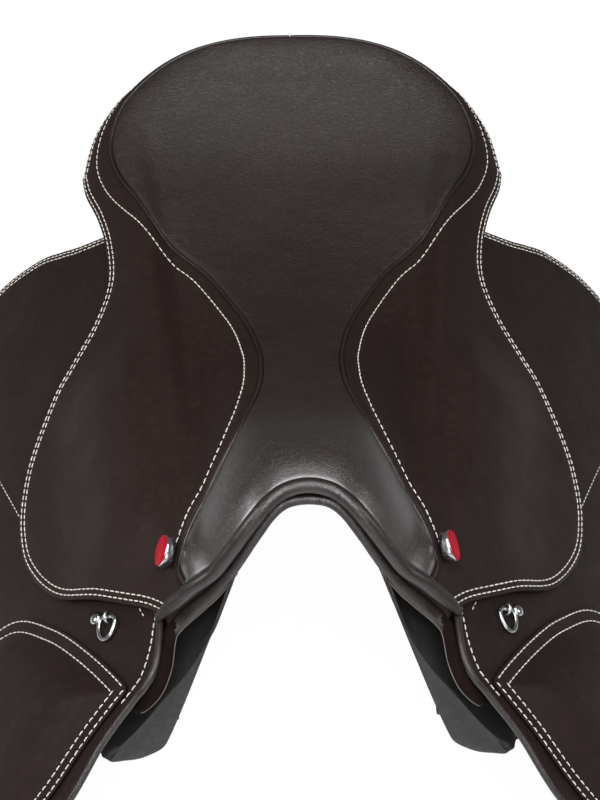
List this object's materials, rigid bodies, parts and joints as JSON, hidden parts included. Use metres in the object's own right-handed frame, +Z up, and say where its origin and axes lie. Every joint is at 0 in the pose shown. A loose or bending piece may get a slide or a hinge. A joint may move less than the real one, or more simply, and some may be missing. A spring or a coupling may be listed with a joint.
{
  "type": "jumping saddle",
  "caption": "Close-contact jumping saddle: deep padded seat on a sprung tree, lifting skirts and flaps, stirrup bars, girth straps and stuffed panels.",
  "frame": {"origin": "on the centreline, midway along the seat, at the level where the panels bear on the horse's back", "axes": "+X to the rider's left, -Y forward to the pommel, +Z up"},
  "size_m": [0.6266, 0.5561, 0.3838],
  "materials": {
    "seat_leather": "fine grained, soft sheen",
    "skirt_leather": "smooth, satin",
    "flap_leather": "smooth, satin",
    "piping_leather": "smooth, satin",
    "lining_leather": "soft, matt",
    "strap_leather": "smooth, waxed",
    "laminate": "glued beech veneers, unpolished",
    "foam": "open cell foam",
    "webbing": "woven webbing",
    "tree_steel": "blued steel sheet",
    "bar_steel": "forged, satin",
    "bright_metal": "nickel plated",
    "red_enamel": "gloss enamel"
  },
  "bodies": {
    "saddle": {"cantle_facing": "skirt_leather", "catch_pin_left": "bar_steel", "catch_pin_right": "bar_steel", "flap_head_left": "flap_leather", "flap_head_right": "flap_leather", "girth_web_left": "webbing", "girth_web_right": "webbing", "gullet_plate": "tree_steel", "gullet_roll": "piping_leather", "head_nail_cap_left": "red_enamel", "head_nail_cap_right": "red_enamel", "head_nail_left": "bright_metal", "head_nail_right": "bright_metal", "head_plate": "tree_steel", "knee_block_left": "lining_leather", "knee_block_right": "lining_leather", "panel_left": "lining_leather", "panel_right": "lining_leather", "pommel_roll": "piping_leather", "seat_canvas": "webbing", "seat_cover": "seat_leather", "seat_foam": "foam", "skirt_top_left": "skirt_leather", "skirt_top_right": "skirt_leather", "spring_steel_left": "tree_steel", "spring_steel_right": "tree_steel", "stirrup_bar_left": "bar_steel", "stirrup_bar_right": "bar_steel", "straining_web_left": "webbing", "straining_web_right": "webbing", "sweat_flap_left": "lining_leather", "sweat_flap_right": "lining_leather", "thigh_block_left": "lining_leather", "thigh_block_right": "lining_leather", "tree_frame": "laminate", "welt_left": "piping_leather", "welt_right": "piping_leather"},
    "flap_left": {"flap_left": "flap_leather", "knee_roll_left": "flap_leather", "dee_staple_left": "bright_metal", "dee_stud_left": "bright_metal"},
    "skirt_left": {"skirt_left": "skirt_leather"},
    "stirrup_catch_left": {"stirrup_catch_left": "bar_steel"},
    "billet_1_left": {"billet_1_left": "strap_leather"},
    "billet_2_left": {"billet_2_left": "strap_leather"},
    "billet_3_left": {"billet_3_left": "strap_leather"},
    "girth_guard_left": {"girth_guard_left": "lining_leather"},
    "dee_ring_left": {"dee_ring_left": "bright_metal"},
    "flap_right": {"flap_right": "flap_leather", "knee_roll_right": "flap_leather", "dee_staple_right": "bright_metal", "dee_stud_right": "bright_metal"},
    "skirt_right": {"skirt_right": "skirt_leather"},
    "stirrup_catch_right": {"stirrup_catch_right": "bar_steel"},
    "billet_1_right": {"billet_1_right": "strap_leather"},
    "billet_2_right": {"billet_2_right": "strap_leather"},
    "billet_3_right": {"billet_3_right": "strap_leather"},
    "girth_guard_right": {"girth_guard_right": "lining_leather"},
    "dee_ring_right": {"dee_ring_right": "bright_metal"}
  },
  "joints": [
    {"name": "flap_lift_left", "type": "hinge", "parent": "saddle", "child": "flap_left", "pos_m": [0.10863, -0.20273, 0.05428], "axis": [-0.13, -0.9908, -0.0372], "range_deg": [0, 70]},
    {"name": "skirt_lift_left", "type": "hinge", "parent": "flap_left", "child": "skirt_left", "pos_m": [0.10863, -0.20273, 0.05428], "axis": [-0.13, -0.9908, -0.0372], "range_deg": [0, 45]},
    {"name": "catch_turn_left", "type": "hinge", "parent": "saddle", "child": "stirrup_catch_left", "pos_m": [0.10042, -0.0725, 0.08203], "axis": [0.7371, 0, -0.6758], "range_deg": [0, 20]},
    {"name": "billet_swing_1_left", "type": "hinge", "parent": "saddle", "child": "billet_1_left", "pos_m": [0.127, -0.055, 0.03651], "axis": [0.7554, 0, 0.6552], "range_deg": [-2, 2]},
    {"name": "billet_swing_2_left", "type": "hinge", "parent": "saddle", "child": "billet_2_left", "pos_m": [0.13212, -0.016, 0.03797], "axis": [0.7554, 0, 0.6552], "range_deg": [-2, 2]},
    {"name": "billet_swing_3_left", "type": "hinge", "parent": "saddle", "child": "billet_3_left", "pos_m": [0.13724, 0.023, 0.03943], "axis": [0.7554, 0, 0.6552], "range_deg": [-2, 2]},
    {"name": "guard_slide_left", "type": "slide", "parent": "billet_2_left", "child": "girth_guard_left", "axis": [0.5967, 0, -0.8024], "range_m": [0, 0.03]},
    {"name": "dee_ring_turn_left", "type": "hinge", "parent": "flap_left", "child": "dee_ring_left", "pos_m": [0.11249, -0.2088, 0.047], "axis": [-0.6886, -0.436, 0.5794], "range_deg": [0, 75]},
    {"name": "flap_lift_right", "type": "hinge", "parent": "saddle", "child": "flap_right", "pos_m": [-0.10863, -0.20273, 0.05428], "axis": [-0.13, 0.9908, 0.0372], "range_deg": [0, 70]},
    {"name": "skirt_lift_right", "type": "hinge", "parent": "flap_right", "child": "skirt_right", "pos_m": [-0.10863, -0.20273, 0.05428], "axis": [-0.13, 0.9908, 0.0372], "range_deg": [0, 45]},
    {"name": "catch_turn_right", "type": "hinge", "parent": "saddle", "child": "stirrup_catch_right", "pos_m": [-0.10042, -0.0725, 0.08203], "axis": [0.7371, 0, 0.6758], "range_deg": [0, 20]},
    {"name": "billet_swing_1_right", "type": "hinge", "parent": "saddle", "child": "billet_1_right", "pos_m": [-0.127, -0.055, 0.03651], "axis": [-0.7554, 0, 0.6552], "range_deg": [-2, 2]},
    {"name": "billet_swing_2_right", "type": "hinge", "parent": "saddle", "child": "billet_2_right", "pos_m": [-0.13212, -0.016, 0.03797], "axis": [-0.7554, 0, 0.6552], "range_deg": [-2, 2]},
    {"name": "billet_swing_3_right", "type": "hinge", "parent": "saddle", "child": "billet_3_right", "pos_m": [-0.13724, 0.023, 0.03943], "axis": [-0.7554, 0, 0.6552], "range_deg": [-2, 2]},
    {"name": "guard_slide_right", "type": "slide", "parent": "billet_2_right", "child": "girth_guard_right", "axis": [-0.5967, 0, -0.8024], "range_m": [0, 0.03]},
    {"name": "dee_ring_turn_right", "type": "hinge", "parent": "flap_right", "child": "dee_ring_right", "pos_m": [-0.11249, -0.2088, 0.047], "axis": [-0.6886, 0.436, -0.5794], "range_deg": [0, 75]}
  ]
}
